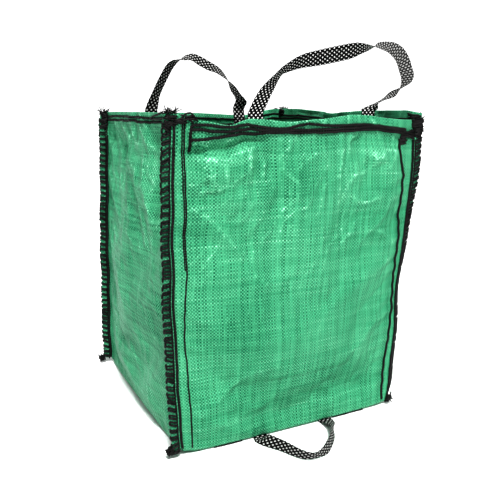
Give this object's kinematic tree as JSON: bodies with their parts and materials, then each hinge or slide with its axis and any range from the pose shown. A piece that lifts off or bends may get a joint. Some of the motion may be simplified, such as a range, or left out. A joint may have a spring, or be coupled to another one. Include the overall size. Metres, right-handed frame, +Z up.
{
  "type": "rope storage bag",
  "caption": "Open-topped square bag of green woven tape fabric with fin seams, two webbing carry handles and a webbing pull handle under the base.",
  "frame": {"origin": "middle of the base panel's underside, on the surface that the bag stands on", "axes": "+Z up, front panel towards -Y, left panel towards -X"},
  "size_m": [0.4372, 0.5136, 0.6137],
  "materials": {
    "woven_fabric": "crisp woven plastic tape, slightly shiny",
    "thread": "thick black sewing yarn, matt",
    "webbing": "flat black webbing with pale flecks in a staggered grid"
  },
  "bodies": {
    "bag": {"front_panel": "woven_fabric", "back_panel": "woven_fabric", "left_panel": "woven_fabric", "right_panel": "woven_fabric", "base_panel": "woven_fabric", "front_left_overlock": "thread", "front_right_overlock": "thread", "back_left_overlock": "thread", "back_right_overlock": "thread", "front_left_chain_stitch": "thread", "front_right_chain_stitch": "thread", "back_left_chain_stitch": "thread", "back_right_chain_stitch": "thread", "front_left_bartack": "thread", "front_right_bartack": "thread", "back_left_bartack": "thread", "back_right_bartack": "thread", "front_left_topstitch": "thread", "front_right_topstitch": "thread", "back_left_topstitch": "thread", "back_right_topstitch": "thread", "front_hem_stitch_upper": "thread", "front_hem_stitch_lower": "thread", "back_hem_stitch_upper": "thread", "back_hem_stitch_lower": "thread", "left_hem_stitch_upper": "thread", "left_hem_stitch_lower": "thread", "right_hem_stitch_upper": "thread", "right_hem_stitch_lower": "thread", "base_front_overlock_left": "thread", "base_front_overlock_middle": "thread", "base_front_overlock_right": "thread", "base_back_overlock": "thread", "base_left_overlock": "thread", "base_right_overlock": "thread", "front_handle_left_tail": "webbing", "front_handle_right_tail": "webbing", "back_handle_left_tail": "webbing", "back_handle_right_tail": "webbing", "base_handle_left_tail": "webbing", "base_handle_right_tail": "webbing", "front_handle_left_box_stitch": "thread", "front_handle_right_box_stitch": "thread", "back_handle_left_box_stitch": "thread", "back_handle_right_box_stitch": "thread", "base_handle_left_box_stitch": "thread", "base_handle_right_box_stitch": "thread"},
    "front_handle": {"front_handle": "webbing"},
    "back_handle": {"back_handle": "webbing"},
    "base_handle": {"base_handle": "webbing"}
  },
  "joints": [
    {"name": "front_handle_fold", "type": "hinge", "parent": "bag", "child": "front_handle", "pos_m": [0, -0.1959, 0.5025], "axis": [1, 0, 0], "range_deg": [-120, 95]},
    {"name": "back_handle_fold", "type": "hinge", "parent": "bag", "child": "back_handle", "pos_m": [0, 0.1959, 0.5025], "axis": [-1, 0, 0], "range_deg": [-120, 95]},
    {"name": "base_handle_fold", "type": "hinge", "parent": "bag", "child": "base_handle", "pos_m": [0, -0.2025, 0.0007], "axis": [-1, 0, 0], "range_deg": [-90, 50]}
  ]
}
